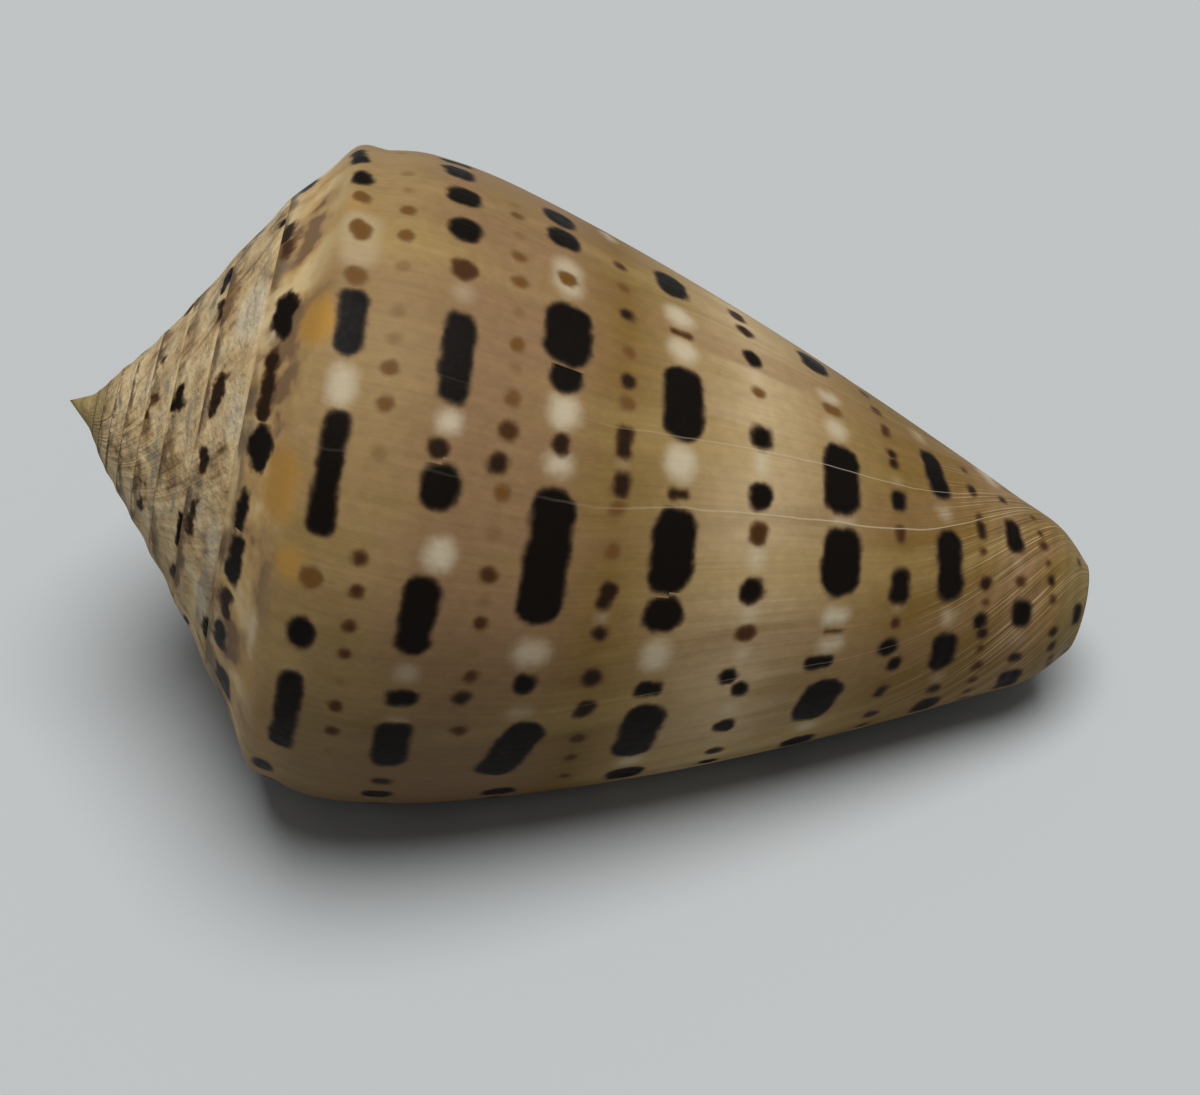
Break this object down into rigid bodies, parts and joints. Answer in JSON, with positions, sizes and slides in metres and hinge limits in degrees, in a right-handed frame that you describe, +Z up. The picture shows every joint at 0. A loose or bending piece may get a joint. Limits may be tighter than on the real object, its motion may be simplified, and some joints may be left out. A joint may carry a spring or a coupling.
{
  "type": "cone shell",
  "caption": "Sea snail shell with a low pointed spire, rounded shoulder and long tapering side with rows of dark spots, lying on its slit-like aperture.",
  "frame": {"origin": "on the table under the middle of the shell as it lies at rest, at the bottom centre of its box", "axes": "+X along the shell seen from above, from the pointed apex to the narrow front end; +Z up; the aperture faces down"},
  "size_m": [0.0506, 0.0314, 0.0293],
  "materials": {
    "shell": "smooth polished shell, tan with pinkish and ochre bands, white patches and rows of near-black dashes"
  },
  "bodies": {
    "root": {"cone_shell": "shell"}
  },
  "joints": []
}
